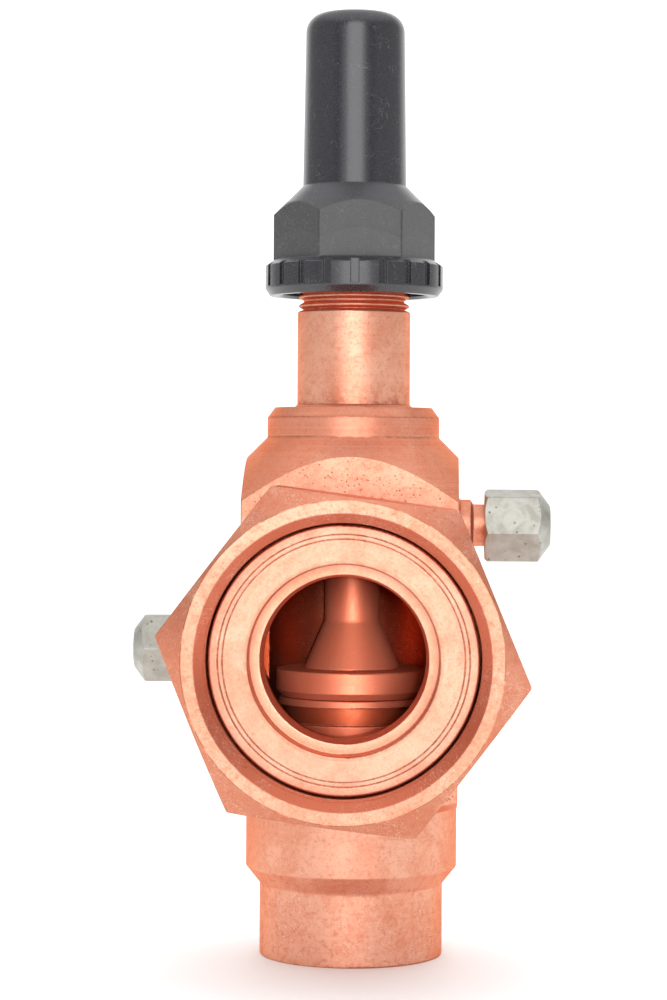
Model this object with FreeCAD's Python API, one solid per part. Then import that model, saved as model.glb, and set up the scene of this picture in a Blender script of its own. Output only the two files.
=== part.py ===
"""Three way service valve for a refrigeration circuit, in millimetres.

The origin is the centre of the tube socket's mouth, on the stem's axis. +Z runs up the stem to the
seal cap. The compressor port faces -Y, the gauge port +X and the pressure switch port -X.
"""

import math
import os

import FreeCAD
import Part

V = FreeCAD.Vector

UP = V(0, 0, 1)
FRONT = V(0, -1, 0)
RIGHT = V(1, 0, 0)
LEFT = V(-1, 0, 0)
ORIGIN = V(0, 0, 0)

# Edges and cuts
EDGE = 0.4
FINE_EDGE = 0.2
CHAMFER = 0.5
BEYOND = 1.0

# Square bar body, turned at both ends
BAR_HALF = 22.95
BAR_EDGE = 0.35
TUBE_R = 19.85
TUBE_TOP = 15.5
TUBE_FILLET = 1.2
SOCKET_R = 17.525
SOCKET_DEPTH = 13.0
TURNED_R = 22.9
TURNED_BOTTOM = 19.3
TURNED_TOP = 32.3
TURNED_SLOPE = 0.35
COLLAR_R = 18.7
COLLAR_BOTTOM = 112.2
COLLAR_EDGE = 116.5
COLLAR_TOP = 118.7
COLLAR_TOP_R = 17.1
CHAMBER_R = 18.1
CHAMBER_TOP = 85.5
CHAMBER_FILLET = 1.0
BACK_SEAT_WIDE_R = 9.8
BACK_SEAT_R = 8.5
BACK_SEAT_TOP = 88.3

# Compressor port: brazed spigot and captive nut
PORT_Z = 67.6
PORT_R = 19.7
PORT_START = 2.5
SPIGOT_ROOT = 21.0
SPIGOT_NECK_R = 22.0
SPIGOT_FILLET = 0.8
SPIGOT_BRAZE = 0.4
FLANGE_R = 27.0
FLANGE_BACK = 49.2
FLANGE_FACE = 56.2
RECESS_R = 19.1
RECESS_FLOOR = 52.3
LIP_R = 16.9
THROAT_R = 16.3
THROAT = 47.0
SEAL_LINE_RADII = (24.16, 25.1)
SEAL_LINE = 0.25
NUT_FLATS = 65.0
NUT_CORNER = 0.9
NUT_SLOPE = 30
NUT_BACK = 37.0
NUT_FRONT = 63.0
NUT_TURN = -7.5
NUT_LIP_R = 22.5
NUT_LIP = 41.5
NUT_RELIEF = 44.0
NUT_MINOR_R = 27.45
NUT_MAJOR_R = 28.575
NUT_PITCH = 25.4 / 12
NUT_MOUTH_R = 29.45
NUT_CHAMFER_R = 31.9

# Seat, disc and stem
SEAT_R = 17.2
SEAT_BOTTOM = 42.4
SEAT_STEP = 50.7
SEAT_LIP = 54.45
SEAT_TOP = 55.95
SEAT_LIP_R = 16.2
SEAT_HOLE_R = 13.5
SEAT_GROOVE_R = 14.7
SEAT_DRAFT = 0.4
DISC_R = 16.5
DISC_TIP_R = 15.2
DISC_BOTTOM = 56.1
DISC_RIM = 57.5
DISC_TOP = 62.05
DISC_HOLE_R = 5.06
DISC_RECESS_R = 8.2
DISC_RECESS_TOP = 59.1
CLIP_BOTTOM = 57.85
CLIP_TOP = 59.05
CLIP_R = 7.4
CLIP_GROOVE_R = 4.2
CLIP_GAP = 3.2
STEM_TIP = 56.7
STEM_PIN_R = 5.0
CONE_BOTTOM = 62.1
CONE_TOP = 72.5
CONE_R = 10.5
CONE_FILLET = 2.5
SHANK_R = 6.0
STEM_THREAD_R = 7.0
STEM_THREAD_BOTTOM = 92.0
STEM_THREAD_TOP = 112.0
SPINDLE_R = 5.0
SQUARE_BOTTOM = 160.8
STEM_TOP = 170.0
STEM_TOP_ROUND = 0.8
SQUARE_FLATS = 7.6
COARSE_PITCH = 2.0

# Bonnet, packing and gland nut
BONNET_R = 12.25
BONNET_BOTTOM = 97.5
BONNET_SHOULDER = 139.5
BONNET_TOP = 159.0
BONNET_THREAD_R = 12.0
BONNET_ROOT_R = 10.95
BONNET_BRAZE = 0.7
THREAD_BORE_R = 7.08
THREAD_BORE_TOP = 126.0
RELIEF_R = 7.6
RELIEF_TOP = 136.0
GUIDE_R = 5.1
PACKING_BOTTOM = 147.5
PACKING_R = 8.0
PACKING_TOP = 153.3
PACKING_RINGS = 3
PACKING_GAP = 0.02
PACKING_WASHER = 1.0
PACKING_HOLE_R = 5.04
GLAND_R = 8.7
GLAND_CLEARANCE = 0.03
GLAND_HOLE_R = 5.14
GLAND_TOP = 160.0
GLAND_SLOT = 2.4
GLAND_SLOT_DEPTH = 2.6

# Seal cap
CAP_BOTTOM = 143.0
CAP_MOUTH_R = 18.3
CAP_RING_R = 19.35
CAP_RING_BOTTOM = 144.5
CAP_RING_TOP = 149.5
CAP_RING_SHOULDER = 150.8
CAP_SHOULDER_R = 17.4
CAP_NOTCHES = 20
NOTCH_WIDTH = 1.8
NOTCH_FLOOR_R = 18.45
NOTCH_DEPTH = 4.0
NOTCH_BOTTOM = 144.9
NOTCH_TURN = -87.9
CAP_FLATS = 30.7
CAP_CORNER = 0.6
CAP_FACE_TURN = -83.5
CAP_CONE_BOTTOM = 158.2
CAP_CONE_R = 20.0
CAP_TOWER_BOTTOM = 166.95
CAP_TOWER_R = 11.25
CAP_TIP_R = 10.7
CAP_TOP = 204.9
CAP_TIP_ROUND = 4.2
CAP_CROWN = 0.5
CAP_THREAD_BORE_R = 12.15
CAP_LIP_R = 16.0
CAP_LIP_TOP = 147.0
CAP_LIP_TAPER = 2.0
CAP_BORE_R = 8.8
CAP_BORE_DRAFT = 0.3
CAP_BORE_TOP = 202.1
CAP_BORE_ROUND = 2.5
CAP_GASKET_R = 12.0
CAP_GASKET_HOLE_R = 8.9
CAP_SEAT = 160.5

# Flare ports. Lengths of the thread, tip and cap run outward from the cap's open end
FLARE_HOLE_R = 1.6
FLARE_ROOT = 20.2
FLARE_BASE_R = 5.55
FLARE_BASE_END = 25.6
FLARE_BRAZE = 0.5
FLARE_STEP = 0.6
FLARE_NECK_R = 4.55
FLARE_THREAD_R = 5.55
FLARE_ROOT_R = 4.8
FLARE_PITCH = 25.4 / 20
FLARE_THREAD_START = 1.3
FLARE_TIP = 11.35
FLARE_NOSE_R = 3.2
FLARE_MOUTH_DEPTH = 3.0
FLARE_CLEARANCE = 0.1
FLARE_CAP_LENGTH = 14.25
FLARE_CAP_FLATS = 14.3
FLARE_CAP_CORNER = 0.35
FLARE_CAP_MOUTH_R = 7.25
FLARE_CAP_MOUTH_SLOPE = 0.66
FLARE_CAP_SHOULDER_R = 6.95
FLARE_CAP_SHOULDER = 2.0
FLARE_CAP_SLOPE = 0.7
FLARE_CAP_END_R = 4.25
FLARE_CAP_BORE_R = 3.7
FLARE_CAP_DEPTH = 12.05
FLARE_GASKET_R = 3.5
FLARE_GASKET_HOLE_R = 1.2
GAUGE_Z = 93.3
GAUGE_CAP_START = 28.66
GAUGE_CAP_TURN = -18.5
PRESSURE_Z = 66.1
PRESSURE_CAP_START = 33.25
PRESSURE_CAP_TURN = 31.7

# Valve core in the pressure port, along the port's axis
CORE_TIP = PRESSURE_CAP_START + FLARE_TIP - 1.2
CORE_FOOT = CORE_TIP - 8.0
CORE_R = 2.3
CORE_HOLE_R = 1.45
CORE_SEAT_R = 0.95
CORE_SEAT_FOOT = CORE_FOOT + 2.4
CORE_SEAT_WALL = 0.8
CORE_BRIDGE_WIDTH = 1.2
CORE_BRIDGE_FOOT = CORE_TIP - 0.9
CORE_BRIDGE_TOP = CORE_TIP - 0.1
CORE_BRIDGE_ROOT = 0.2
CORE_PIN_R = 0.6
CORE_PIN_CLEARANCE = 0.05
CORE_PIN_FOOT = CORE_FOOT + 0.9
CORE_PIN_TOP = CORE_TIP + 0.5
CORE_SHOULDER_R = 1.35
CORE_SHOULDER_FOOT = CORE_TIP - 2.1
CORE_SHOULDER_TOP = CORE_TIP - 1.6
CORE_SEAL_R = 1.85
CORE_SEAL_TOP = CORE_PIN_FOOT + 1.45
CORE_COIL_R = 1.1
CORE_WIRE_R = 0.2
CORE_COILS = 7


def outline(points):
    """Closed wire in the XZ plane through (x, z) or (x, z, corner radius) points."""
    corners = [V(p[0], 0, p[1]) for p in points]
    radii = [p[2] if len(p) > 2 else 0 for p in points]
    starts = []
    ends = []
    arcs = []
    for i, here in enumerate(corners):
        before = (corners[i - 1] - here).normalize()
        after = (corners[(i + 1) % len(corners)] - here).normalize()
        if not radii[i]:
            starts.append(here)
            ends.append(here)
            arcs.append(None)
            continue
        half = before.getAngle(after) / 2
        along = radii[i] / math.tan(half)
        middle = (before + after).normalize()
        reach = radii[i] / math.sin(half) - radii[i]
        starts.append(here + before * along)
        ends.append(here + after * along)
        arcs.append(Part.Arc(starts[-1], here + middle * reach, ends[-1]).toShape())
    edges = []
    for i, arc in enumerate(arcs):
        if arc:
            edges.append(arc)
        following = starts[(i + 1) % len(arcs)]
        if ends[i].distanceToPoint(following) > 1e-6:
            edges.append(Part.makeLine(ends[i], following))
    return Part.Wire(edges)


def place(shape, base, direction):
    """Move a shape made along +Z so that it stands on base and points along direction."""
    shape.Placement = FreeCAD.Placement(base, FreeCAD.Rotation(UP, direction))
    return shape


def lathe(points, base=ORIGIN, direction=UP):
    """Turned solid whose outline is (radius, height) points."""
    solid = Part.Face(outline(points)).revolve(ORIGIN, UP, 360)
    return place(solid, base, direction)


def ring(inner, outer, low, high, bevel=0.0):
    """Outline of a plain ring, with its outer corners rounded."""
    return [(inner, low), (outer, low, bevel), (outer, high, bevel), (inner, high)]


def ridges(crest, root, low, high, pitch):
    """Outline points, from low to high, of a 60 degree thread drawn as rings."""
    flank = abs(crest - root) * math.tan(math.radians(30))
    flat = (pitch - 2 * flank) / 2
    points = []
    z = low
    while z + pitch <= high + 1e-6:
        points += [(root, z), (crest, z + flank), (crest, z + flank + flat)]
        points.append((root, z + 2 * flank + flat))
        z += pitch
    return points


def prism(sides, flats, low, high, turn, round_edge=0.0):
    """Regular prism along +Z, one corner at turn degrees from +X."""
    radius = flats / 2 / math.cos(math.pi / sides)
    step = 360 / sides
    angles = [math.radians(turn + step * k) for k in range(sides)]
    corners = [V(radius * math.cos(a), radius * math.sin(a), low) for a in angles]
    solid = Part.Face(Part.makePolygon(corners + corners[:1])).extrude(V(0, 0, high - low))
    if round_edge:
        upright = [e for e in solid.Edges if abs(e.tangentAt(e.FirstParameter).z) > 0.99]
        solid = solid.makeFillet(round_edge, upright)
    return solid


def drill(radius, low, high, base, direction):
    return place(Part.makeCylinder(radius, high - low, V(0, 0, low)), base, direction)


def valve_body():
    spread = BAR_HALF * math.sqrt(2) + BEYOND
    step_rise = TURNED_SLOPE * (spread - TURNED_R)
    envelope = lathe(
        [
            (0, 0),
            (TUBE_R, 0, EDGE),
            (TUBE_R, TUBE_TOP, TUBE_FILLET),
            (TURNED_R, TURNED_BOTTOM, EDGE),
            (TURNED_R, TURNED_TOP, EDGE),
            (spread, TURNED_TOP + step_rise),
            (spread, COLLAR_BOTTOM - spread + COLLAR_R),
            (COLLAR_R, COLLAR_BOTTOM, EDGE),
            (COLLAR_R, COLLAR_EDGE, EDGE),
            (COLLAR_TOP_R, COLLAR_TOP),
            (0, COLLAR_TOP),
        ]
    )
    bar = prism(4, 2 * BAR_HALF, 0, COLLAR_TOP, 45, BAR_EDGE)
    stem_bore = lathe(
        [
            (0, -BEYOND),
            (SOCKET_R, -BEYOND),
            (SOCKET_R, SOCKET_DEPTH),
            (SEAT_R, SOCKET_DEPTH),
            (SEAT_R, SEAT_STEP),
            (CHAMBER_R, SEAT_STEP),
            (CHAMBER_R, CHAMBER_TOP, CHAMBER_FILLET),
            (BACK_SEAT_WIDE_R, CHAMBER_TOP),
            (BACK_SEAT_R, BACK_SEAT_TOP),
            (BACK_SEAT_R, BONNET_BOTTOM),
            (BONNET_R, BONNET_BOTTOM),
            (BONNET_R, COLLAR_TOP + BEYOND),
            (0, COLLAR_TOP + BEYOND),
        ]
    )
    port = V(0, 0, PORT_Z)
    gauge = V(0, 0, GAUGE_Z)
    pressure = V(0, 0, PRESSURE_Z)
    beyond = BAR_HALF + BEYOND
    holes = [
        drill(PORT_R, PORT_START, beyond, port, FRONT),
        drill(SPIGOT_NECK_R, SPIGOT_ROOT, beyond, port, FRONT),
        drill(FLARE_HOLE_R, 0, beyond, gauge, RIGHT),
        drill(FLARE_BASE_R, FLARE_ROOT, beyond, gauge, RIGHT),
        drill(FLARE_HOLE_R, 0, beyond, pressure, LEFT),
        drill(FLARE_BASE_R, FLARE_ROOT, beyond, pressure, LEFT),
    ]
    return bar.common(envelope).cut([stem_bore] + holes)


def braze_ring(radius, size, face, base, direction):
    """Fillet of filler metal between a face and a tube that stands on it."""
    points = [(radius, face), (radius + size, face), (radius, face + size)]
    return lathe(points, base, direction)


def port_spigot():
    points = [
        (PORT_R, SPIGOT_ROOT),
        (SPIGOT_NECK_R, SPIGOT_ROOT),
        (SPIGOT_NECK_R, FLANGE_BACK, SPIGOT_FILLET),
        (FLANGE_R, FLANGE_BACK, EDGE),
        (FLANGE_R, FLANGE_FACE, EDGE),
    ]
    for radius in reversed(SEAL_LINE_RADII):
        points += [
            (radius + SEAL_LINE / 2, FLANGE_FACE),
            (radius, FLANGE_FACE - SEAL_LINE),
            (radius - SEAL_LINE / 2, FLANGE_FACE),
        ]
    points += [
        (RECESS_R, FLANGE_FACE, EDGE),
        (RECESS_R, RECESS_FLOOR, EDGE),
        (LIP_R, RECESS_FLOOR, FINE_EDGE),
        (THROAT_R, THROAT, EDGE),
        (PORT_R, THROAT - (PORT_R - THROAT_R)),
    ]
    return lathe(points, V(0, 0, PORT_Z), FRONT)


def rotalock_nut():
    half = NUT_FLATS / 2
    slope = math.tan(math.radians(NUT_SLOPE))
    spread = half / math.cos(math.pi / 6) + BEYOND
    rise = (spread - NUT_CHAMFER_R) * slope
    envelope = lathe(
        [
            (0, NUT_BACK),
            (NUT_CHAMFER_R, NUT_BACK, EDGE),
            (spread, NUT_BACK + rise),
            (spread, NUT_FRONT - rise),
            (NUT_CHAMFER_R, NUT_FRONT, EDGE),
            (0, NUT_FRONT),
        ]
    )
    blank = prism(6, NUT_FLATS, NUT_BACK, NUT_FRONT, NUT_TURN, NUT_CORNER)
    mouth = NUT_FRONT - (NUT_MOUTH_R - NUT_MINOR_R)
    bore = lathe(
        [
            (0, NUT_BACK - BEYOND),
            (NUT_LIP_R + CHAMFER + BEYOND, NUT_BACK - BEYOND),
            (NUT_LIP_R, NUT_BACK + CHAMFER),
            (NUT_LIP_R, NUT_LIP),
            (NUT_MAJOR_R, NUT_LIP),
            (NUT_MAJOR_R, NUT_RELIEF),
        ]
        + ridges(NUT_MAJOR_R, NUT_MINOR_R, NUT_RELIEF, mouth, NUT_PITCH)
        + [
            (NUT_MINOR_R, mouth),
            (NUT_MOUTH_R, NUT_FRONT),
            (NUT_MOUTH_R, NUT_FRONT + BEYOND),
            (0, NUT_FRONT + BEYOND),
        ]
    )
    return place(blank.common(envelope).cut(bore), V(0, 0, PORT_Z), FRONT)


def seat_ring():
    return lathe(
        [
            (SEAT_HOLE_R, SEAT_BOTTOM, EDGE),
            (SEAT_R, SEAT_BOTTOM, EDGE),
            (SEAT_R, SEAT_STEP),
            (SEAT_GROOVE_R, SEAT_STEP),
            (SEAT_GROOVE_R, SEAT_LIP),
            (SEAT_LIP_R, SEAT_LIP, FINE_EDGE),
            (SEAT_LIP_R - SEAT_DRAFT, SEAT_TOP, FINE_EDGE),
            (SEAT_HOLE_R + CHAMFER, SEAT_TOP),
            (SEAT_HOLE_R, SEAT_TOP - CHAMFER),
        ]
    )


def valve_disc():
    return lathe(
        [
            (DISC_RECESS_R, DISC_BOTTOM),
            (DISC_TIP_R, DISC_BOTTOM, FINE_EDGE),
            (DISC_R, DISC_RIM, FINE_EDGE),
            (DISC_R, DISC_TOP, EDGE),
            (DISC_HOLE_R, DISC_TOP),
            (DISC_HOLE_R, DISC_RECESS_TOP),
            (DISC_RECESS_R, DISC_RECESS_TOP),
        ]
    )


def disc_clip():
    band = lathe(ring(CLIP_GROOVE_R, CLIP_R, CLIP_BOTTOM, CLIP_TOP, FINE_EDGE))
    reach = CLIP_R + BEYOND
    corner = V(-CLIP_GAP / 2, -reach, CLIP_BOTTOM - BEYOND)
    gap = Part.makeBox(CLIP_GAP, reach, CLIP_TOP - CLIP_BOTTOM + 2 * BEYOND, corner)
    return band.cut(gap)


def stem():
    thread = ridges(STEM_THREAD_R, SHANK_R, STEM_THREAD_BOTTOM, STEM_THREAD_TOP, COARSE_PITCH)
    turned = lathe(
        [
            (0, STEM_TIP),
            (STEM_PIN_R, STEM_TIP, EDGE),
            (STEM_PIN_R, CLIP_BOTTOM),
            (CLIP_GROOVE_R, CLIP_BOTTOM),
            (CLIP_GROOVE_R, CLIP_TOP),
            (STEM_PIN_R, CLIP_TOP),
            (STEM_PIN_R, CONE_BOTTOM),
            (CONE_R, CONE_BOTTOM, FINE_EDGE),
            (SHANK_R, CONE_TOP, CONE_FILLET),
        ]
        + thread
        + [
            (SHANK_R, STEM_THREAD_TOP),
            (SPINDLE_R, STEM_THREAD_TOP + SHANK_R - SPINDLE_R),
            (SPINDLE_R, STEM_TOP, STEM_TOP_ROUND),
            (0, STEM_TOP),
        ]
    )
    square = prism(4, SQUARE_FLATS, SQUARE_BOTTOM, STEM_TOP, 45)
    shell = lathe(ring(0, SPINDLE_R + BEYOND, SQUARE_BOTTOM, STEM_TOP + BEYOND))
    return turned.cut(shell.cut(square))


def bonnet():
    root = BONNET_ROOT_R
    top = BONNET_TOP - CHAMFER
    socket = GLAND_R + GLAND_CLEARANCE
    thread = ridges(BONNET_THREAD_R, root, BONNET_SHOULDER + CHAMFER, top, COARSE_PITCH)
    return lathe(
        [
            (THREAD_BORE_R + CHAMFER, BONNET_BOTTOM),
            (BONNET_R, BONNET_BOTTOM),
            (BONNET_R, BONNET_SHOULDER, EDGE),
        ]
        + thread
        + [
            (root, top),
            (root - CHAMFER, BONNET_TOP),
            (socket, BONNET_TOP),
            (socket, PACKING_TOP),
            (PACKING_R, PACKING_TOP),
            (PACKING_R, PACKING_BOTTOM),
            (GUIDE_R, PACKING_BOTTOM),
            (GUIDE_R, RELIEF_TOP),
            (RELIEF_R, RELIEF_TOP),
            (RELIEF_R, THREAD_BORE_TOP),
            (THREAD_BORE_R, THREAD_BORE_TOP),
            (THREAD_BORE_R, BONNET_BOTTOM + CHAMFER),
        ]
    )


def packing_washer():
    top = PACKING_BOTTOM + PACKING_WASHER
    return lathe(ring(PACKING_HOLE_R, PACKING_R, PACKING_BOTTOM, top))


def stem_packing():
    low = PACKING_BOTTOM + PACKING_WASHER
    height = (PACKING_TOP - low) / PACKING_RINGS
    rings = []
    for k in range(PACKING_RINGS):
        foot = low + k * height
        top = foot + height - PACKING_GAP
        rings.append(lathe(ring(PACKING_HOLE_R, PACKING_R, foot, top, FINE_EDGE)))
    return Part.makeCompound(rings)


def gland_nut():
    blank = lathe(ring(GLAND_HOLE_R, GLAND_R, PACKING_TOP, GLAND_TOP, EDGE))
    reach = GLAND_R + BEYOND
    corner = V(-reach, -GLAND_SLOT / 2, GLAND_TOP - GLAND_SLOT_DEPTH)
    slots = []
    for angle in (0, 90):
        slot = Part.makeBox(2 * reach, GLAND_SLOT, GLAND_SLOT_DEPTH + BEYOND, corner)
        slot.rotate(ORIGIN, UP, angle)
        slots.append(slot)
    return blank.cut(slots)


def seal_cap():
    skirt = lathe(
        [
            (0, CAP_BOTTOM),
            (CAP_MOUTH_R, CAP_BOTTOM, FINE_EDGE),
            (CAP_RING_R, CAP_RING_BOTTOM, EDGE),
            (CAP_RING_R, CAP_RING_TOP, EDGE),
            (CAP_SHOULDER_R, CAP_RING_SHOULDER, FINE_EDGE),
            (0, CAP_RING_SHOULDER),
        ]
    )
    rise = CAP_RING_SHOULDER - NOTCH_BOTTOM + BEYOND
    corner = V(NOTCH_FLOOR_R, -NOTCH_WIDTH / 2, NOTCH_BOTTOM)
    notches = []
    for k in range(CAP_NOTCHES):
        notch = Part.makeBox(NOTCH_DEPTH, NOTCH_WIDTH, rise, corner)
        notch.rotate(ORIGIN, UP, NOTCH_TURN + 360 / CAP_NOTCHES * k)
        notches.append(notch)
    hexagon = prism(6, CAP_FLATS, CAP_RING_TOP, CAP_TOWER_BOTTOM, CAP_FACE_TURN + 30, CAP_CORNER)
    cone = lathe(
        [
            (0, CAP_RING_TOP),
            (CAP_CONE_R, CAP_RING_TOP),
            (CAP_CONE_R, CAP_CONE_BOTTOM),
            (CAP_TOWER_R, CAP_TOWER_BOTTOM),
            (0, CAP_TOWER_BOTTOM),
        ]
    )
    tower = lathe(
        [
            (0, CAP_CONE_BOTTOM),
            (CAP_TOWER_R, CAP_CONE_BOTTOM),
            (CAP_TOWER_R, CAP_TOWER_BOTTOM),
            (CAP_TIP_R, CAP_TOP - CAP_CROWN, CAP_TIP_ROUND),
            (0, CAP_TOP),
        ]
    )
    inside = lathe(
        [
            (0, CAP_BOTTOM - BEYOND),
            (CAP_LIP_R + CHAMFER + BEYOND, CAP_BOTTOM - BEYOND),
            (CAP_LIP_R, CAP_BOTTOM + CHAMFER),
            (CAP_LIP_R, CAP_LIP_TOP),
            (CAP_THREAD_BORE_R, CAP_LIP_TOP + CAP_LIP_TAPER),
            (CAP_THREAD_BORE_R, CAP_SEAT),
            (CAP_BORE_R, CAP_SEAT),
            (CAP_BORE_R - CAP_BORE_DRAFT, CAP_BORE_TOP, CAP_BORE_ROUND),
            (0, CAP_BORE_TOP),
        ]
    )
    outside = skirt.cut(notches).fuse([hexagon.common(cone), tower])
    return outside.removeSplitter().cut(inside)


def cap_gasket():
    return lathe(ring(CAP_GASKET_HOLE_R, CAP_GASKET_R, BONNET_TOP, CAP_SEAT, FINE_EDGE))


def flare_fitting(base, direction, cap_start, holds_core):
    """Male flare fitting, brazed into the body. A fitting that holds a valve core is bored out for it."""
    start = cap_start + FLARE_THREAD_START
    tip = cap_start + FLARE_TIP
    nose = tip - (FLARE_ROOT_R - FLARE_NOSE_R)
    if holds_core:
        bore = [(CORE_R, CORE_FOOT), (FLARE_HOLE_R, CORE_FOOT)]
    else:
        floor = tip - FLARE_MOUTH_DEPTH
        bore = [(CORE_R, floor), (FLARE_HOLE_R, floor - (CORE_R - FLARE_HOLE_R))]
    points = (
        [
            (FLARE_HOLE_R, FLARE_ROOT),
            (FLARE_BASE_R, FLARE_ROOT),
            (FLARE_BASE_R, FLARE_BASE_END, EDGE),
            (FLARE_NECK_R, FLARE_BASE_END + FLARE_STEP, EDGE),
            (FLARE_NECK_R, start - FLARE_STEP),
        ]
        + ridges(FLARE_THREAD_R, FLARE_ROOT_R, start, nose, FLARE_PITCH)
        + [
            (FLARE_ROOT_R, nose),
            (FLARE_NOSE_R, tip),
            (CORE_R, tip),
        ]
        + bore
    )
    return lathe(points, base, direction)


def flare_cap(base, direction, start, turn):
    end = start + FLARE_CAP_LENGTH
    half = FLARE_CAP_FLATS / 2
    spread = half / math.cos(math.pi / 6) + BEYOND
    shoulder = end - FLARE_CAP_SHOULDER
    envelope = lathe(
        [
            (0, start),
            (FLARE_CAP_MOUTH_R, start, FINE_EDGE),
            (spread, start + FLARE_CAP_MOUTH_SLOPE * (spread - FLARE_CAP_MOUTH_R)),
            (spread, shoulder - FLARE_CAP_SLOPE * (spread - half)),
            (FLARE_CAP_SHOULDER_R, shoulder, EDGE),
            (FLARE_CAP_END_R, end, EDGE),
            (0, end),
        ]
    )
    blank = prism(6, FLARE_CAP_FLATS, start, end, turn, FLARE_CAP_CORNER)
    bore = FLARE_THREAD_R + FLARE_CLEARANCE
    floor = start + FLARE_CAP_DEPTH
    inside = lathe(
        [
            (0, start - BEYOND),
            (bore + CHAMFER + BEYOND, start - BEYOND),
            (bore, start + CHAMFER),
            (bore, floor - (bore - FLARE_CAP_BORE_R)),
            (FLARE_CAP_BORE_R, floor),
            (0, floor),
        ]
    )
    return place(blank.common(envelope).cut(inside), base, direction)


def flare_gasket(base, direction, start):
    low = start + FLARE_TIP
    high = start + FLARE_CAP_DEPTH
    return lathe(ring(FLARE_GASKET_HOLE_R, FLARE_GASKET_R, low, high, FINE_EDGE), base, direction)


def core_body(base, direction):
    """Threaded sleeve of the valve core, with a bridge at its outer end that guides the pin."""
    sleeve = lathe(
        [
            (CORE_SEAT_R, CORE_SEAT_FOOT),
            (CORE_R, CORE_SEAT_FOOT, FINE_EDGE),
            (CORE_R, CORE_TIP, FINE_EDGE),
            (CORE_HOLE_R, CORE_TIP),
            (CORE_HOLE_R, CORE_SEAT_FOOT + CORE_SEAT_WALL),
            (CORE_SEAT_R, CORE_SEAT_FOOT + CORE_SEAT_WALL),
        ],
        base,
        direction,
    )
    reach = CORE_HOLE_R + CORE_BRIDGE_ROOT
    corner = V(-reach, -CORE_BRIDGE_WIDTH / 2, CORE_BRIDGE_FOOT)
    bridge = Part.makeBox(2 * reach, CORE_BRIDGE_WIDTH, CORE_BRIDGE_TOP - CORE_BRIDGE_FOOT, corner)
    hole = drill(CORE_PIN_R + CORE_PIN_CLEARANCE, CORE_BRIDGE_FOOT - BEYOND, CORE_TIP, ORIGIN, UP)
    return sleeve.fuse(place(bridge.cut(hole), base, direction))


def core_pin(base, direction):
    points = [
        (0, CORE_PIN_FOOT),
        (CORE_PIN_R, CORE_PIN_FOOT),
        (CORE_PIN_R, CORE_SHOULDER_FOOT),
        (CORE_SHOULDER_R, CORE_SHOULDER_FOOT),
        (CORE_SHOULDER_R, CORE_SHOULDER_TOP),
        (CORE_PIN_R, CORE_SHOULDER_TOP),
        (CORE_PIN_R, CORE_PIN_TOP, FINE_EDGE),
        (0, CORE_PIN_TOP),
    ]
    return lathe(points, base, direction)


def core_seal(base, direction):
    return lathe(ring(CORE_PIN_R, CORE_SEAL_R, CORE_PIN_FOOT, CORE_SEAL_TOP, FINE_EDGE), base, direction)


def core_spring(base, direction):
    """Coil spring drawn as closed rings between the sleeve's foot and the pin's shoulder."""
    low = CORE_SEAT_FOOT + CORE_SEAT_WALL + CORE_WIRE_R
    high = CORE_SHOULDER_FOOT - CORE_WIRE_R
    step = (high - low) / (CORE_COILS - 1)
    rings = []
    for k in range(CORE_COILS):
        turn = Part.makeTorus(CORE_COIL_R, CORE_WIRE_R, V(0, 0, low + k * step), UP)
        rings.append(place(turn, base, direction))
    return Part.makeCompound(rings)


def parts():
    port = V(0, 0, PORT_Z)
    gauge = V(0, 0, GAUGE_Z)
    pressure = V(0, 0, PRESSURE_Z)
    return {
        "valve_body": valve_body(),
        "bonnet": bonnet(),
        "neck_braze": braze_ring(BONNET_R, BONNET_BRAZE, COLLAR_TOP, ORIGIN, UP),
        "port_spigot": port_spigot(),
        "spigot_braze": braze_ring(SPIGOT_NECK_R, SPIGOT_BRAZE, BAR_HALF, port, FRONT),
        "rotalock_nut": rotalock_nut(),
        "seat_ring": seat_ring(),
        "valve_disc": valve_disc(),
        "disc_clip": disc_clip(),
        "stem": stem(),
        "packing_washer": packing_washer(),
        "stem_packing": stem_packing(),
        "gland_nut": gland_nut(),
        "seal_cap": seal_cap(),
        "cap_gasket": cap_gasket(),
        "gauge_port_fitting": flare_fitting(gauge, RIGHT, GAUGE_CAP_START, False),
        "gauge_port_braze": braze_ring(FLARE_BASE_R, FLARE_BRAZE, BAR_HALF, gauge, RIGHT),
        "gauge_port_cap": flare_cap(gauge, RIGHT, GAUGE_CAP_START, GAUGE_CAP_TURN),
        "gauge_cap_gasket": flare_gasket(gauge, RIGHT, GAUGE_CAP_START),
        "pressure_port_fitting": flare_fitting(pressure, LEFT, PRESSURE_CAP_START, True),
        "pressure_port_braze": braze_ring(FLARE_BASE_R, FLARE_BRAZE, BAR_HALF, pressure, LEFT),
        "pressure_port_cap": flare_cap(pressure, LEFT, PRESSURE_CAP_START, PRESSURE_CAP_TURN),
        "pressure_cap_gasket": flare_gasket(pressure, LEFT, PRESSURE_CAP_START),
        "core_body": core_body(pressure, LEFT),
        "core_pin": core_pin(pressure, LEFT),
        "core_seal": core_seal(pressure, LEFT),
        "core_spring": core_spring(pressure, LEFT),
    }


def main():
    os.makedirs("parts", exist_ok=True)
    for node, shape in parts().items():
        shape.exportStep(f"parts/{node}.step")
        box = shape.BoundBox
        print(f"{node:22} valid {shape.isValid()} solids {len(shape.Solids)} "
              f"volume {shape.Volume:9.1f} x {box.XMin:6.2f} {box.XMax:6.2f} "
              f"y {box.YMin:6.2f} {box.YMax:6.2f} z {box.ZMin:6.2f} {box.ZMax:6.2f}")


main()
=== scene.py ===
import math

import bpy
from mathutils import Matrix, Vector


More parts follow.
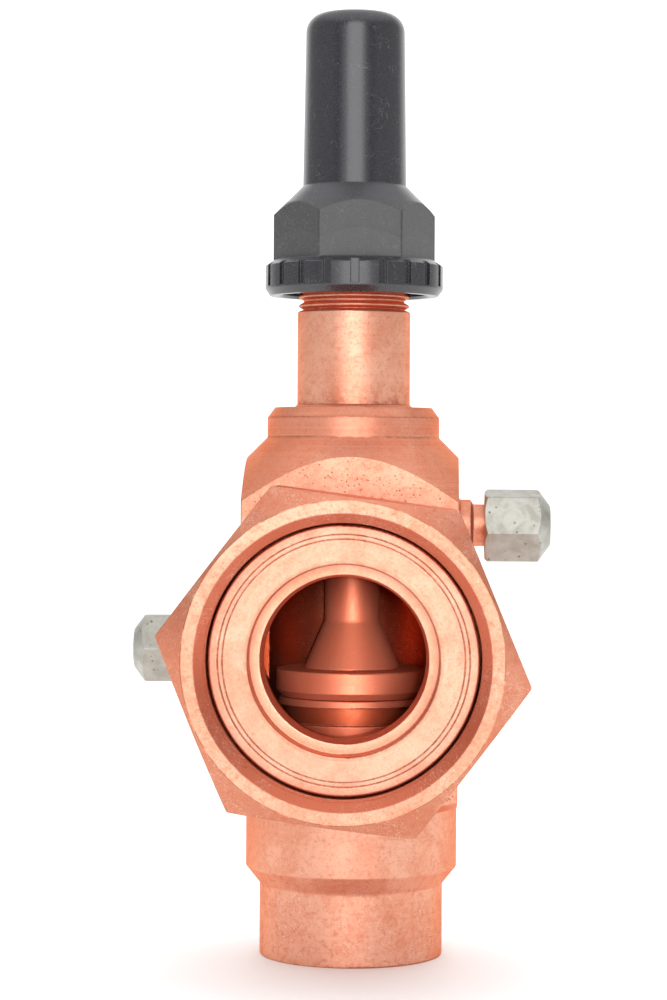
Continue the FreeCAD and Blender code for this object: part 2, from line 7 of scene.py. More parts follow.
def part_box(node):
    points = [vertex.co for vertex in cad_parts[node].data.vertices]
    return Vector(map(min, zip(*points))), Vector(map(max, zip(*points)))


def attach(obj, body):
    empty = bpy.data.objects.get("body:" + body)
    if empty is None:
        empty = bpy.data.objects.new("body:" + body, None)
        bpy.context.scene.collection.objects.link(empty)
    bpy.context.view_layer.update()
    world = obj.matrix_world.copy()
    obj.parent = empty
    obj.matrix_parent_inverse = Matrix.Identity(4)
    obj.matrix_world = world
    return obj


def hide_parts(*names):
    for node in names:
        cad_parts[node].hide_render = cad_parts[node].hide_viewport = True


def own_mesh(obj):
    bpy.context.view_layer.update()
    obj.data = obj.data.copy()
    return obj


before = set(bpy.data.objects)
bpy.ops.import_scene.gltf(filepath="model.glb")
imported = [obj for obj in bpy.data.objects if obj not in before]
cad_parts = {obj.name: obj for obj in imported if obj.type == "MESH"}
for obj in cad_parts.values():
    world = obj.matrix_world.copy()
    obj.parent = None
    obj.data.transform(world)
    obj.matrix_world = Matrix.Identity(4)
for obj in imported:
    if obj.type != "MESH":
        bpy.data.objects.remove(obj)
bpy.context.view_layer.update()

MM = 0.001
WHITE = (1.0, 1.0, 1.0)

# The axes that things turn about, read from the frame
STEM = Vector((0, 0, 0))
port_low, port_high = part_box("port_spigot")
PORT = Vector((0, 0, (port_low.z + port_high.z) / 2))
gauge_low, gauge_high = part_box("gauge_port_fitting")
GAUGE = Vector((0, 0, (gauge_low.z + gauge_high.z) / 2))
pressure_low, pressure_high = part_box("pressure_port_fitting")
PRESSURE = Vector((0, 0, (pressure_low.z + pressure_high.z) / 2))
bar_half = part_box("valve_body")[1].x


def place_in_scene(name, data):
    holder = bpy.data.objects.new(name, data)
    bpy.context.scene.collection.objects.link(holder)
    return holder


# ---------------------------------------------------------------- node graphs


class Graph:
    """A material's node tree. Its methods add a node and give back an output socket."""

    def __init__(self, name):
        self.material = bpy.data.materials.new(name)
        self.material.use_nodes = True
        self.tree = self.material.node_tree
        self.tree.nodes.clear()

    def add(self, kind, inputs=None, **settings):
        node = self.tree.nodes.new("ShaderNode" + kind)
        for key, value in settings.items():
            setattr(node, key, value)
        for key, value in (inputs or {}).items():
            self.feed(node.inputs[key], value)
        return node

    def feed(self, socket, value):
        if isinstance(value, bpy.types.NodeSocket):
            self.tree.links.new(value, socket)
        elif socket.type == "RGBA" and len(value) == 3:
            socket.default_value = (*value, 1)
        else:
            socket.default_value = value

    def math(self, operation, a, b=0.0, clamp=False):
        return self.add("Math", {0: a, 1: b}, operation=operation, use_clamp=clamp).outputs[0]

    def times(self, a, b):
        return self.math("MULTIPLY", a, b)

    def plus(self, a, b, clamp=False):
        return self.math("ADD", a, b, clamp)

    def minus(self, a, b):
        return self.math("SUBTRACT", a, b)

    def most(self, a, b, clamp=False):
        return self.math("MAXIMUM", a, b, clamp)

    def magnitude(self, a):
        return self.math("ABSOLUTE", a)

    def remap(self, value, low, high, to_low=0.0, to_high=1.0, smooth=True):
        """value moved from the range low to high into to_low to to_high, and held at its ends."""
        inputs = {"Value": value, 1: low, 2: high, 3: to_low, 4: to_high}
        kind = "SMOOTHSTEP" if smooth else "LINEAR"
        return self.add("MapRange", inputs, interpolation_type=kind, clamp=True).outputs[0]

    def mix(self, factor, a, b):
        """Colour a where factor is 0 and b where it is 1."""
        node = self.add("Mix", data_type="RGBA")
        self.feed(node.inputs[0], factor)
        self.feed(node.inputs[6], a)
        self.feed(node.inputs[7], b)
        return node.outputs[2]

    def combine(self, x, y, z):
        return self.add("CombineXYZ", {0: x, 1: y, 2: z}).outputs[0]

    def noise(self, vector, scale, detail=2.0, roughness=0.5, distortion=0.0):
        inputs = {
            "Vector": vector,
            "Scale": scale,
            "Detail": detail,
            "Roughness": roughness,
            "Distortion": distortion,
        }
        return self.add("TexNoise", inputs).outputs["Fac"]

    def cells(self, vector, scale):
        return self.add("TexVoronoi", {"Vector": vector, "Scale": scale}).outputs["Distance"]

    def rotate(self, vector, axis, angle):
        inputs = {"Vector": vector, "Axis": axis, "Angle": angle}
        return self.add("VectorRotate", inputs).outputs[0]

    def scale(self, vector, factors):
        return self.add("VectorMath", {0: vector, 1: factors}, operation="MULTIPLY").outputs[0]

    def millimetres(self, centre):
        """The point on the surface, in millimetres from centre."""
        place = self.add("TexCoord").outputs["Object"]
        moved = self.add("VectorMath", {0: place, 1: centre}, operation="SUBTRACT").outputs[0]
        inputs = {0: moved, "Scale": 1 / MM}
        return self.add("VectorMath", inputs, operation="SCALE").outputs[0]

    def split(self, vector):
        return self.add("SeparateXYZ", {0: vector}).outputs

    def turned(self, vector, axis):
        """(height along the axis, radius, angle) of a point, for an axis named x, y or z."""
        x, y, z = self.split(vector)
        height, a, b = {"x": (x, y, z), "y": (y, z, x), "z": (z, x, y)}[axis]
        radius = self.math("SQRT", self.plus(self.times(a, a), self.times(b, b)))
        return height, radius, self.math("ARCTAN2", b, a)


def soft_edges(graph, edge_mm):
    """A normal that rounds edges off by edge_mm, and a mask of those edges."""
    soft = graph.add("Bevel", {"Radius": edge_mm * MM}, samples=6).outputs[0]
    true = graph.add("NewGeometry").outputs["Normal"]
    alike = graph.add("VectorMath", {0: soft, 1: true}, operation="DOT_PRODUCT").outputs["Value"]
    return soft, graph.remap(alike, 0.995, 0.90)


def finish_surface(
    graph, colour, roughness, height, depth_mm, soft, metallic=0.0, shine=0.5, edge_tint=WHITE
):
    """Principled surface with depth_mm of relief from height, over the normal called soft."""
    inputs = {"Strength": 1.0, "Distance": depth_mm * MM, "Height": height, "Normal": soft}
    bump = graph.add("Bump", inputs).outputs[0]
    inputs = {"Base Color": colour, "Roughness": roughness, "Normal": bump}
    shader = graph.add("BsdfPrincipled", inputs)
    shader.inputs["Metallic"].default_value = metallic
    shader.inputs["Specular IOR Level"].default_value = shine
    shader.inputs["Specular Tint"].default_value = (*edge_tint, 1)
    graph.add("OutputMaterial", {"Surface": shader.outputs[0]})
    return graph.material


# ------------------------------------------------------------------ materials

COPPER = (0.80, 0.34, 0.22)
COPPER_PALE = (0.88, 0.455, 0.315)
COPPER_RED = (0.70, 0.21, 0.12)
COPPER_BROWN = (0.30, 0.115, 0.055)
# Dark red copper used as painted shade inside the chamber
COPPER_PAINTED_SHADE = (0.30, 0.045, 0.012)
COPPER_BRIGHT = (1.0, 0.72, 0.56)


def copper(
    name,
    axis,
    centre,
    paint=None,
    lines=1.0,
    pits=0.3,
    stains=0.5,
    scratches=0.5,
    red=0.0,
    deep=0.0,
    gloss=0.40,
    metallic=0.9,
):
    """Copper plate over machined steel. lines is the strength of the turning marks round axis. Up to
    deep, strengths are numbers, or sockets from paint(graph, place, height, radius), which gives back
    any of them by name, and extra marks under the names dark and pale."""
    g = Graph(name)
    place = g.millimetres(centre)
    height, radius, angle = g.turned(place, axis)
    wear = {"lines": lines, "pits": pits, "stains": stains, "scratches": scratches}
    wear.update(red=red, deep=deep, dark=0.0, pale=0.0)
    if paint:
        wear.update(paint(g, place, height, radius))

    # Turning marks: noise that changes fast along the outline and hardly at all round it
    drift = g.times(angle, 0.12)
    fine = g.noise(g.combine(height, radius, drift), 3.4, 3.0, 0.7)
    wide = g.noise(g.combine(height, radius, g.times(angle, 0.3)), 0.62, 2.0, 0.6)
    marks = g.plus(g.times(fine, 0.7), g.times(wide, 0.3))
    marks = g.times(g.minus(marks, 0.5), wear["lines"])

    # Patches of tarnish, a finer mottling and the grain of the plate
    patches = g.noise(place, 0.085, 4.0, 0.6, 0.6)
    mottle = g.noise(place, 0.75, 5.0, 0.72, 0.5)
    grain = g.noise(place, 2.2, 4.0, 0.75)

    # Pits: the dark middles of small cells, present only where a second noise allows
    pit_mask = g.remap(g.noise(place, 0.8, 2.0), 0.34, 0.54)
    pit = g.times(g.remap(g.cells(place, 1.1), 0.27, 0.14), pit_mask)
    pit = g.times(pit, wear["pits"])

    # Scratches: thin bands where two slanted, stretched noises cross their middle value
    hairs = []
    for slant, reach in ((0.9, 0.16), (-1.1, 0.11)):
        turned = g.rotate(place, (0.3, 0.8, 0.5), slant)
        stretch = g.scale(turned, (1.5, 0.12, 1.3))
        crossing = g.magnitude(g.minus(g.noise(stretch, 1.0, 3.0, 0.55, 1.3), 0.5))
        present = g.remap(g.noise(place, reach, 2.0), 0.48, 0.64)
        hairs.append(g.times(g.remap(crossing, 0.013, 0.003), present))
    hair = g.times(g.most(*hairs), wear["scratches"])

    colour = g.mix(g.remap(patches, 0.34, 0.64), COPPER_PALE, COPPER)
    colour = g.mix(g.times(g.remap(mottle, 0.48, 0.70), wear["stains"]), colour, COPPER_RED)
    colour = g.mix(g.times(g.remap(mottle, 0.46, 0.30), wear["stains"]), colour, COPPER_PALE)
    shade = g.plus(g.times(marks, 0.75), g.times(g.minus(grain, 0.5), 0.55))
    colour = g.mix(g.remap(shade, 0.0, 0.22, smooth=False), colour, COPPER_RED)
    colour = g.mix(g.remap(shade, 0.0, -0.25, 0.0, 0.7, smooth=False), colour, COPPER_PALE)
    colour = g.mix(wear["red"], colour, COPPER_RED)
    # deep lays painted shade: the dark red of the shade inside the chamber
    colour = g.mix(wear["deep"], colour, COPPER_PAINTED_SHADE)
    brown = g.remap(g.noise(place, 0.33, 4.0, 0.75, 1.0), 0.64, 0.76)
    brown = g.times(brown, g.times(wear["stains"], 0.5))
    # The dark marks turn brown as well; on the nut's lower chamfer they are painted shade
    brown = g.most(g.most(brown, pit), wear["dark"])
    colour = g.mix(brown, colour, COPPER_BROWN)
    colour = g.mix(g.most(hair, wear["pale"], clamp=True), colour, COPPER_BRIGHT)

    # Edges: plate rubbed bright in places, with a dark line of tarnish in others
    soft, edge = soft_edges(g, 0.3)
    rubbed = g.times(edge, g.remap(g.noise(place, 0.5, 4.0, 0.7), 0.45, 0.60))
    colour = g.mix(g.times(rubbed, 0.55), colour, COPPER_BRIGHT)
    tarnish = g.times(edge, g.remap(g.noise(place, 0.4, 4.0, 0.7), 0.50, 0.38))
    colour = g.mix(g.times(tarnish, 0.45), colour, COPPER_BROWN)

    rough = g.plus(gloss, g.times(g.minus(mottle, 0.5), 0.22))
    rough = g.plus(rough, g.times(marks, 0.16))
    rough = g.plus(rough, g.times(g.minus(grain, 0.5), 0.15), clamp=True)

    relief = g.plus(g.times(marks, 0.8), g.times(grain, 0.35))
    relief = g.plus(relief, g.times(mottle, 0.5))
    relief = g.minus(relief, g.times(pit, 1.2))
    relief = g.minus(relief, g.times(hair, 0.4))
    return finish_surface(g, colour, rough, relief, 0.022, soft, metallic, edge_tint=COPPER_PALE)


def between(g, value, low, high, edge=0.15):
    """1 where value lies from low to high, with soft edges."""
    rise = g.remap(value, low - edge, low + edge)
    return g.times(rise, g.remap(value, high + edge, high - edge))


# Where the marks below lie on the CAD, in millimetres. Heights on the body and neck are up from the
# ground, on the cap above its foot, on the seat below its top, and on the nut up from the port's axis.
# Radii are from the piece's own axis, and the spigot's front is along Y. Where g.remap reads a pair, the
# mark is absent at its first number and full at its second.
FLAT_SKIN = (0.08, 0.02)
FLATS_START = (30.0, 33.0)
UPPER_BODY = (70.0, 95.0)
COLLAR_EDGES = ((112.0, 112.5), (116.3, 116.7))
TUBE_END = (20.0, 14.0)
CHAMBER_HEIGHTS = (22.0, 96.0)
CHAMBER_WALL = (20.2, 19.9)
DRILL_END_Y = (-2.6, -2.4)
DRILL_END_X = (17.6, 17.9)
NECK_FOOT = (125.5, 118.5)
NECK_FOOT_LINE = (119.3, 120.2)
NECK_THREAD = (139.2, 139.8)
NUT_CHAMFER = (31.7, 32.2)
NUT_RIM = (29.5, 31.9)
NUT_RIM_LINE = (31.75, 32.0)
NUT_MOUTH = (29.35, 29.2)
NUT_UNDERSIDE = (8.0, -14.0)
SPIGOT_FRONT = (-49.0, -50.0)
SPIGOT_LINES = ((24.06, 24.26), (25.0, 25.2))
RECESS_EDGE = (19.2, 19.9)
RECESS_WALL = (19.1, 18.9)
SEAT_LIP = 1.5
SEAT_STEP = 5.25
CAP_HEXAGON = (7.6, 24.0)
CAP_HEXAGON_FLATS = (14.9, 15.2)
CAP_LINE = 29.4  # height plus radius
CAP_LINE_WIDTH = 0.12


def body_paint(g, place, height, radius):
    """Pitted mill skin on the bar's flats, turned grooves and tarnish on the top cone and collar, a
    scuffed tube end, and a chamber painted deep red as shade."""
    x, y, _ = g.split(place)
    furthest = g.most(g.magnitude(x), g.magnitude(y))
    flat = g.remap(furthest, *(bar_half / MM - depth for depth in FLAT_SKIN), smooth=False)
    flat = g.times(flat, g.remap(height, *FLATS_START))
    rounds = g.minus(1.0, flat)
    upper = g.times(rounds, g.remap(height, *UPPER_BODY))
    lines = g.plus(g.times(rounds, 0.35), g.times(upper, 0.9))
    edges = g.plus(*(between(g, height, *edge, 0.2) for edge in COLLAR_EDGES))
    worn = g.remap(g.noise(place, 0.6, 4.0, 0.7), 0.35, 0.65)
    pricked = g.remap(g.noise(place, 0.45, 3.0), 0.36, 0.52)
    pin_pricks = g.times(g.remap(g.cells(place, 1.9), 0.26, 0.12), pricked)
    tube = g.times(g.remap(height, *TUBE_END), 0.8)
    # Painted shade: the chamber's walls turn dark red, fully so at the end of the side drilling
    chamber = g.times(between(g, height, *CHAMBER_HEIGHTS), g.remap(radius, *CHAMBER_WALL))
    drill_end = between(g, y, *DRILL_END_Y, 0.05)
    drill_end = g.times(drill_end, g.remap(g.magnitude(x), *DRILL_END_X))
    stretched = g.scale(g.rotate(place, (0, 1, 0), 0.6), (2.6, 0.5, 0.4))
    hatch = g.remap(g.noise(stretched, 1.0, 4.0, 0.75, 0.6), 0.60, 0.70)
    hatch = g.times(hatch, g.remap(g.noise(place, 0.12, 2.0), 0.46, 0.58))
    worn_edges = g.times(edges, g.times(worn, 0.45))
    pricked_flats = g.times(pin_pricks, g.times(flat, 0.55))
    return {
        "lines": lines,
        "pits": g.plus(g.times(flat, 0.8), g.times(rounds, 0.25)),
        "red": g.times(upper, 0.42),
        "dark": g.most(worn_edges, pricked_flats),
        "deep": g.times(chamber, g.remap(drill_end, 0.0, 1.0, 0.92, 1.0)),
        "scratches": g.plus(0.25, tube),
        "pale": g.times(hatch, tube),
        "stains": g.plus(0.45, g.times(tube, 0.5)),
    }


def neck_paint(g, place, height, radius):
    """Heat from the braze has reddened the neck's foot and left a dark line, and its thread is dull."""
    blotches = g.remap(g.noise(place, 0.45, 4.0, 0.65), 0.42, 0.60)
    foot = g.times(g.remap(height, *NECK_FOOT), blotches)
    thread = g.remap(height, *NECK_THREAD)
    line = between(g, height, *NECK_FOOT_LINE, 0.5)
    return {
        "red": g.most(g.times(foot, 0.9), g.times(thread, 0.65)),
        "dark": g.times(line, g.times(blotches, 0.25)),
    }


def nut_paint(g, place, height, radius):
    """The chamfers and flats are red and freckled, and painted shade darkens them below. The rim of the
    mouth is knocked bright in places beside a dark line, its inside is red, and old stains cloud the
    whole nut."""
    flecks = g.remap(g.noise(place, 1.5, 4.0, 0.75, 0.8), 0.58, 0.70)
    chamfer = g.times(g.remap(radius, *NUT_CHAMFER), flecks)
    knocks = g.remap(g.noise(place, 0.9, 5.0, 0.8, 0.6), 0.60, 0.70)
    rim = g.times(between(g, radius, *NUT_RIM, 0.2), knocks)
    line = g.times(between(g, radius, *NUT_RIM_LINE, 0.12), 0.75)
    line = g.times(line, g.remap(g.noise(place, 0.25, 3.0), 0.38, 0.54))
    old_stain = g.times(g.remap(g.noise(place, 0.20, 5.0, 0.7, 1.2), 0.60, 0.72), 0.5)
    mouth = g.remap(radius, *NUT_MOUTH)
    # Painted shade: the outer chamfer and flats grow darker toward the bottom
    below = g.remap(g.split(place)[2], *NUT_UNDERSIDE)
    below = g.times(below, g.remap(radius, *NUT_CHAMFER))
    return {
        "pale": g.times(g.most(chamfer, rim), 0.45),
        "dark": g.most(g.most(line, old_stain), g.times(below, 0.30)),
        "red": g.most(g.remap(radius, *NUT_CHAMFER, 0.12, 0.60), mouth),
    }


def spigot_paint(g, place, height, radius):
    """Tarnish lies in the two turned lines of the sealing face and on the recess's edge, and the
    recess's wall is redder."""
    front = g.remap(height, *SPIGOT_FRONT)
    lines = g.plus(*(between(g, radius, *line, 0.12) for line in SPIGOT_LINES))
    edge = between(g, radius, *RECESS_EDGE)
    breaks = g.remap(g.noise(place, 0.5, 3.0), 0.30, 0.50)
    marks = g.plus(g.times(lines, 0.55), g.times(edge, 0.30))
    return {
        "dark": g.times(g.times(marks, breaks), front),
        "red": g.times(g.remap(radius, *RECESS_WALL), 0.35),
        "lines": 0.4,
    }


def seat_paint(g, place, height, radius):
    """Red all over, with painted shade deepest in the groove under the lip, and deeper below its step
    than above.
    """
    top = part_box("seat_ring")[1].z / MM
    step = top - SEAT_STEP
    # Painted shade: full in the groove under the lip, lighter above the step, heavier below it
    groove = g.times(between(g, height, step, top - SEAT_LIP, 0.1), 0.85)
    return {"red": 0.85, "deep": g.most(groove, g.remap(height, step, step - 0.4, 0.25, 0.5))}


ZINC = (0.50, 0.495, 0.45)
ZINC_CLOUDED = (0.41, 0.395, 0.345)
ZINC_YELLOW = (0.40, 0.37, 0.29)
ZINC_WORN = (0.80, 0.78, 0.72)
RUST = (0.13, 0.10, 0.06)


def plated(name, axis, centre):
    """Dull zinc plate with dark rust spots."""
    g = Graph(name)
    place = g.millimetres(centre)
    cloud = g.noise(place, 0.35, 4.0, 0.6, 0.4)
    grain = g.noise(place, 3.0, 4.0, 0.7)
    spotted = g.remap(g.noise(place, 0.5, 3.0), 0.50, 0.62)
    spots = g.times(g.remap(g.cells(place, 0.62), 0.24, 0.08), spotted)
    colour = g.mix(g.remap(cloud, 0.35, 0.7), ZINC, ZINC_CLOUDED)
    colour = g.mix(g.remap(grain, 0.55, 0.8, 0.0, 0.5), colour, ZINC_YELLOW)
    colour = g.mix(g.times(spots, 0.85), colour, RUST)
    rough = g.remap(cloud, 0.3, 0.7, 0.44, 0.52)
    relief = g.minus(g.times(grain, 0.5), spots)
    soft, edge = soft_edges(g, 0.3)
    colour = g.mix(g.times(edge, 0.35), colour, ZINC_WORN)
    return finish_surface(g, colour, rough, relief, 0.03, soft, 0.95)


PLASTIC = (0.019, 0.018, 0.023)
PLASTIC_CLOUDED = (0.029, 0.028, 0.033)
PLASTIC_FLAT = (0.030, 0.030, 0.031)
PLASTIC_FLAT_LOWER = (0.047, 0.047, 0.048)
PLASTIC_SPARKLE = (0.16, 0.16, 0.165)
PLASTIC_LINE = (0.015, 0.015, 0.016)
PLASTIC_DUST = (0.26, 0.25, 0.24)
PLASTIC_SCUFF = (0.20, 0.19, 0.17)
PLASTIC_EDGE = (0.10, 0.10, 0.105)


def moulded(name):
    """Black plastic: a glossy tower and ring, and a grainy hexagon that carries a faint mould line
    where a cone below its chamfer would meet the flats."""
    g = Graph(name)
    place = g.millimetres(STEM)
    height, radius, angle = g.turned(place, "z")
    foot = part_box("seal_cap")[0].z / MM
    around = g.combine(g.times(angle, 14.0), g.times(height, 0.05), radius)
    streaks = g.noise(around, 1.0, 3.0)
    grain = g.noise(place, 2.6, 4.0, 0.7)
    sparkle = g.remap(g.noise(place, 3.4, 2.0, 0.6), 0.55, 0.72)
    hexagon = between(g, height, *(foot + end for end in CAP_HEXAGON), 0.2)
    hexagon = g.times(hexagon, g.remap(radius, *CAP_HEXAGON_FLATS))
    slant = g.plus(height, radius)
    line_start = foot + CAP_LINE
    line = between(g, slant, line_start, line_start + CAP_LINE_WIDTH, 0.12)
    lower = g.remap(slant, line_start, line_start - 0.3)
    dust = g.remap(g.noise(place, 5.0, 2.0, 0.6), 0.64, 0.72)
    dust = g.times(dust, g.remap(g.noise(place, 0.12, 2.0), 0.40, 0.62))
    scuff = g.magnitude(g.minus(g.noise(place, 0.16, 4.0, 0.6, 0.8), 0.5))
    scuffed = g.remap(g.noise(place, 0.3, 2.0), 0.5, 0.6)
    scuff = g.times(g.remap(scuff, 0.006, 0.001), scuffed)

    colour = g.mix(g.remap(grain, 0.35, 0.7), PLASTIC, PLASTIC_CLOUDED)
    # The hexagon's flats are lighter than the tower, partly for their grain and partly as a painted
    # broad highlight
    flats = g.mix(g.times(lower, 0.4), PLASTIC_FLAT, PLASTIC_FLAT_LOWER)
    flats = g.mix(g.times(sparkle, 0.5), flats, PLASTIC_SPARKLE)
    colour = g.mix(hexagon, colour, flats)
    colour = g.mix(g.times(g.times(line, hexagon), 0.7), colour, PLASTIC_LINE)
    colour = g.mix(g.times(dust, 0.45), colour, PLASTIC_DUST)
    colour = g.mix(g.times(scuff, 0.35), colour, PLASTIC_SCUFF)
    soft, edge = soft_edges(g, 0.25)
    colour = g.mix(g.times(edge, 0.25), colour, PLASTIC_EDGE)

    rough = g.plus(g.remap(grain, 0.3, 0.7, 0.15, 0.22), g.times(streaks, 0.07))
    rough = g.plus(rough, g.times(hexagon, 0.20))
    relief = g.plus(g.times(grain, 0.4), g.times(streaks, 0.4))
    relief = g.plus(relief, g.times(g.times(sparkle, hexagon), 0.8))
    return finish_surface(g, colour, rough, relief, 0.025, soft, shine=0.75)


def plain(name, colour, other, metallic, low, high):
    """Small inner pieces: one colour clouded with another, of roughness low to high."""
    g = Graph(name)
    place = g.millimetres(STEM)
    cloud = g.noise(place, 0.8, 4.0, 0.6)
    grain = g.noise(place, 5.0, 3.0, 0.7)
    tint = g.mix(g.remap(cloud, 0.3, 0.7), colour, other)
    rough = g.remap(grain, 0.3, 0.7, low, high)
    soft, _ = soft_edges(g, 0.1)
    return finish_surface(g, tint, rough, grain, 0.02, soft, metallic)


SPRING_STEEL = (0.52, 0.53, 0.55)
SPRING_STEEL_DARK = (0.42, 0.42, 0.44)
STEEL = (0.60, 0.60, 0.61)
STEEL_DARK = (0.48, 0.47, 0.47)
BRASS = (0.78, 0.58, 0.27)
BRASS_DARK = (0.66, 0.46, 0.20)
RUBBER = (0.028, 0.028, 0.030)
RUBBER_PALE = (0.040, 0.040, 0.042)
GRAPHITE = (0.045, 0.045, 0.048)
GRAPHITE_PALE = (0.09, 0.09, 0.095)


def dress():
    """Give every CAD node its material, and add the coil that stands in for the core's spring."""
    # The disc and stem are redder, and painted shade (deep) darkens them where they sit in the chamber
    red_and_shaded = {"stains": 0.06, "scratches": 0.1, "red": 0.9, "deep": 0.3, "metallic": 0.6}
    looks = {
        "valve_body": copper("body_copper", "z", STEM, body_paint),
        "bonnet": copper("neck_copper", "z", STEM, neck_paint, lines=0.35, stains=0.55),
        "neck_braze": copper("neck_braze_copper", "z", STEM, lines=0.1, red=0.5),
        "port_spigot": copper("spigot_copper", "y", PORT, spigot_paint, pits=0.1, stains=0.22),
        "rotalock_nut": copper(
            "nut_copper", "y", PORT, nut_paint, lines=0.4, stains=0.8, scratches=0.7
        ),
        "seat_ring": copper(
            "seat_copper",
            "z",
            STEM,
            seat_paint,
            lines=0.6,
            stains=0.1,
            scratches=0.1,
            gloss=0.48,
            metallic=0.65,
        ),
        "valve_disc": copper(
            "disc_copper", "z", STEM, lines=0.5, pits=0.05, gloss=0.52, **red_and_shaded
        ),
        "stem": copper("stem_copper", "z", STEM, lines=0.4, pits=0.15, gloss=0.50, **red_and_shaded),
        "gauge_port_fitting": copper("gauge_fitting_copper", "x", GAUGE, lines=0.6, red=0.2),
        "pressure_port_fitting": copper("pressure_fitting_copper", "x", PRESSURE, lines=0.6, red=0.2),
        "gauge_port_cap": plated("gauge_cap_plate", "x", GAUGE),
        "pressure_port_cap": plated("pressure_cap_plate", "x", PRESSURE),
        "seal_cap": moulded("cap_plastic"),
    }
    braze = copper("braze_copper", "x", STEM, lines=0.0, red=0.5)
    for node in ("spigot_braze", "gauge_port_braze", "pressure_port_braze"):
        looks[node] = braze
    spring_steel = plain("spring_steel", SPRING_STEEL, SPRING_STEEL_DARK, 1.0, 0.25, 0.4)
    turned_steel = plain("turned_steel", STEEL, STEEL_DARK, 1.0, 0.3, 0.45)
    brass = plain("turned_brass", BRASS, BRASS_DARK, 1.0, 0.25, 0.42)
    rubber = plain("gasket_rubber", RUBBER, RUBBER_PALE, 0.0, 0.5, 0.7)
    graphite = plain("packing_graphite", GRAPHITE, GRAPHITE_PALE, 0.0, 0.4, 0.6)
    looks.update(
        {
            "disc_clip": spring_steel,
            "core_spring": spring_steel,
            "packing_washer": turned_steel,
            "gland_nut": brass,
            "core_body": brass,
            "core_pin": brass,
            "stem_packing": graphite,
            "cap_gasket": rubber,
            "gauge_cap_gasket": rubber,
            "pressure_cap_gasket": rubber,
            "core_seal": rubber,
        }
    )
    for node, look in looks.items():
        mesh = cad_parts[node].data
        mesh.materials.clear()
        mesh.materials.append(look)
    undressed = set(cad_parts) - set(looks)
    assert not undressed, undressed
    coil_spring(spring_steel)


# ----------------------------------------------------------------- coil spring

SPRING_WIRE = 0.2 * MM
SPRING_TURNS = 6
STEPS_PER_TURN = 24
WIRE_SIDES = 8


def coil_spring(look):
    """The valve core's spring as a true coil."""
    low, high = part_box("core_spring")
    length = high.x - low.x
    coil_radius = (high.z - low.z) / 2 - SPRING_WIRE
    steps = SPRING_TURNS * STEPS_PER_TURN
    points = []
    for i in range(steps + 1):
        turn = 2 * math.pi * i / STEPS_PER_TURN
        along = low.x + SPRING_WIRE + (length - 2 * SPRING_WIRE) * i / steps
        for k in range(WIRE_SIDES):
            side = 2 * math.pi * k / WIRE_SIDES
            reach = coil_radius + SPRING_WIRE * math.cos(side)
            x = along + SPRING_WIRE * math.sin(side)
            points.append((x, reach * math.cos(turn), PRESSURE.z + reach * math.sin(turn)))
    faces = [tuple(range(WIRE_SIDES)), tuple(reversed(range(steps * WIRE_SIDES, len(points))))]
    for i in range(steps):
        for k in range(WIRE_SIDES):
            here = i * WIRE_SIDES + k
            beside = i * WIRE_SIDES + (k + 1) % WIRE_SIDES
            faces.append((here, here + WIRE_SIDES, beside + WIRE_SIDES, beside))
    mesh = bpy.data.meshes.new("core_coil")
    mesh.from_pydata(points, [], faces)
    mesh.shade_smooth()
    mesh.materials.append(look)
    coil = place_in_scene("core_coil", mesh)
    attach(coil, "valve")
    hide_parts("core_spring")
    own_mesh(coil)


# --------------------------------------------------------------------- studio

# The camera looks along +Y, turned a little toward -X. Its distances are in metres, and the lens and
# sensor in millimetres.
CAMERA_DISTANCE = 0.610
CAMERA_SIDE = 0.0043
CAMERA_HEIGHT = 0.108
CAMERA_YAW = math.radians(2.13)
CAMERA_ROLL = math.radians(0.32)
LENS = 100.69
SENSOR = 36
RISE = -0.0431

SOFTBOX_PLACE = (0.05, -1.5, 0.62)
SOFTBOX_TARGET = (0, 0, 0.10)
SOFTBOX_SIZE = (1.0, 1.2)
SOFTBOX_POWER = 7.2
SUN_STRENGTH = 1.8
SUN_ANGLE = math.radians(100)
SNOOT_OFFSET = (0.05, -0.9, 0.06)
SNOOT_POWER = 38.0
SNOOT_ANGLE = math.radians(1.86)
SNOOT_BLEND = 0.25
SNOOT_RADIUS = 0.005

# How bright the room's walls are, and the x, y or z of a direction between which each one fades in
GAP_LIGHT = 0.20
SIDE_LIGHT = 0.46
FRONT_LIGHT = 1.25
BACK_LIGHT = 1.3
TOP_LIGHT = 1.15
SIDE_FADE = (0.60, 0.82)
FRONT_FADE = (-0.78, -0.94)
BACK_FADE = (0.25, 0.90)
TOP_FADE = (0.25, 0.95)

FLOOR_REACH = 40.0
FLOOR_WHITE = (0.90, 0.90, 0.90)
FLOOR_WHITER = (0.92, 0.92, 0.92)


def studio_camera():
    camera = bpy.data.cameras.new("camera")
    camera.lens = LENS
    camera.sensor_width = SENSOR
    camera.shift_y = RISE
    holder = place_in_scene("camera", camera)
    back = Vector((math.sin(CAMERA_YAW), -math.cos(CAMERA_YAW), 0))
    right = Vector((math.cos(CAMERA_YAW), math.sin(CAMERA_YAW), 0))
    place = back * CAMERA_DISTANCE - right * CAMERA_SIDE + Vector((0, 0, CAMERA_HEIGHT))
    up = Vector((0, 0, 1))
    turn = Matrix((right, up, back)).transposed().to_4x4() @ Matrix.Rotation(CAMERA_ROLL, 4, "Z")
    holder.matrix_world = Matrix.Translation(place) @ turn
    bpy.context.scene.camera = holder


def aim(holder, place, target):
    """Put a light at place, pointing at target."""
    holder.location = place
    holder.rotation_euler = (target - place).to_track_quat("-Z", "Y").to_euler()


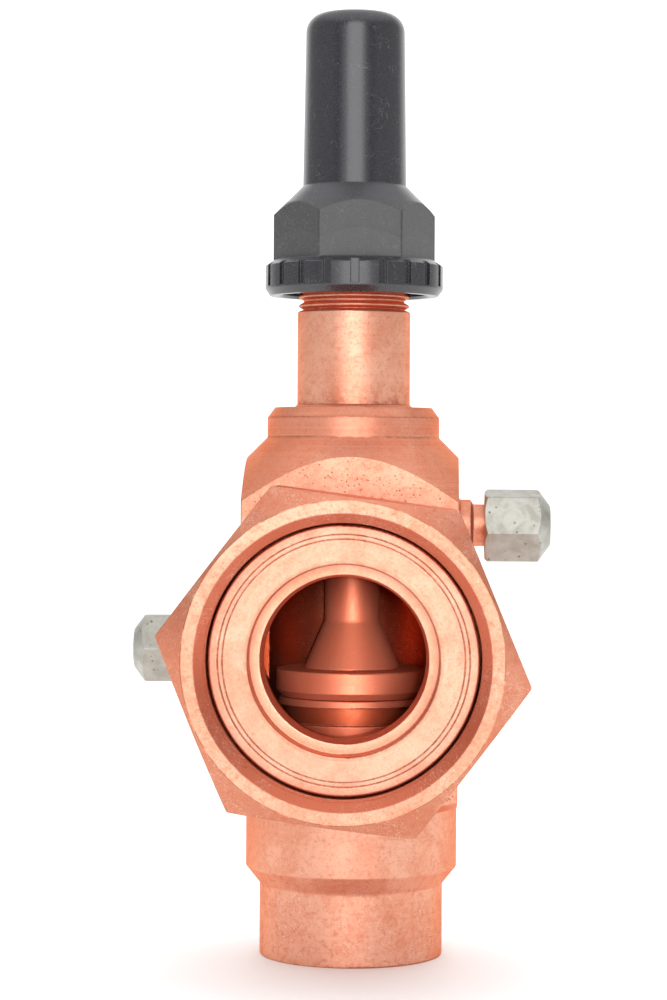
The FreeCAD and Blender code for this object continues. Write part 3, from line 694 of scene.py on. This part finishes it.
def studio_lights():
    """A soft box behind the camera, a sun that lights the floor and isn't mirrored, and a snoot whose
    narrow beam goes into the union nut port."""
    light = bpy.data.lights.new("front_box", "AREA")
    light.shape = "RECTANGLE"
    light.size, light.size_y = SOFTBOX_SIZE
    light.energy = SOFTBOX_POWER
    aim(place_in_scene("front_box", light), Vector(SOFTBOX_PLACE), Vector(SOFTBOX_TARGET))

    light = bpy.data.lights.new("overhead", "SUN")
    light.energy = SUN_STRENGTH
    light.angle = SUN_ANGLE
    place_in_scene("overhead", light).visible_glossy = False

    light = bpy.data.lights.new("snoot", "SPOT")
    light.energy = SNOOT_POWER
    light.spot_size = SNOOT_ANGLE
    light.spot_blend = SNOOT_BLEND
    light.shadow_soft_size = SNOOT_RADIUS
    port_face = PORT + Vector((0, port_low.y, 0))
    aim(place_in_scene("snoot", light), port_face + Vector(SNOOT_OFFSET), port_face)


def studio_room():
    """A white room with a dark gap on each side of the camera, then paler walls, a bright back and a
    bright ceiling, so that turned metal shows bands. The camera itself sees plain white."""
    world = bpy.data.worlds.new("studio")
    bpy.context.scene.world = world
    world.use_nodes = True
    tree = world.node_tree
    tree.nodes.clear()

    def node(kind, *inputs, **settings):
        made = tree.nodes.new("ShaderNode" + kind)
        for key, value in settings.items():
            setattr(made, key, value)
        for socket, value in zip(made.inputs, inputs):
            if isinstance(value, bpy.types.NodeSocket):
                tree.links.new(value, socket)
            else:
                socket.default_value = value
        return made

    def wall(value, fade, dark, bright):
        inputs = (value, *fade, dark, bright)
        return node("MapRange", *inputs, interpolation_type="SMOOTHSTEP").outputs[0]

    x, y, z = node("SeparateXYZ", node("TexCoord").outputs["Generated"]).outputs
    aside = node("Math", x, operation="ABSOLUTE").outputs[0]
    strength = wall(y, FRONT_FADE, 0.0, FRONT_LIGHT)
    for other in (
        wall(y, BACK_FADE, 0.0, BACK_LIGHT),
        wall(z, TOP_FADE, 0.0, TOP_LIGHT),
        wall(aside, SIDE_FADE, GAP_LIGHT, SIDE_LIGHT),
        node("LightPath").outputs["Is Camera Ray"],
    ):
        strength = node("Math", strength, other, operation="MAXIMUM").outputs[0]
    background = node("Background", (1, 1, 1, 1), strength)
    node("OutputWorld", background.outputs[0])


def studio_floor():
    """A clean, very slightly clouded white floor that runs out of sight."""
    mesh = bpy.data.meshes.new("floor")
    corners = [(-1, -1), (1, -1), (1, 1), (-1, 1)]
    corners = [(x * FLOOR_REACH, y * FLOOR_REACH, 0) for x, y in corners]
    mesh.from_pydata(corners, [], [(0, 1, 2, 3)])
    g = Graph("studio_floor")
    cloud = g.noise(g.millimetres(STEM), 0.004, 2.0)
    shader = g.add("BsdfPrincipled", {"Base Color": g.mix(cloud, FLOOR_WHITE, FLOOR_WHITER)})
    shader.inputs["Roughness"].default_value = 0.8
    g.add("OutputMaterial", {"Surface": shader.outputs[0]})
    mesh.materials.append(g.material)
    place_in_scene("floor", mesh)


studio_camera()
dress()
studio_lights()
studio_room()
studio_floor()
bpy.context.scene.view_settings.view_transform = "Standard"
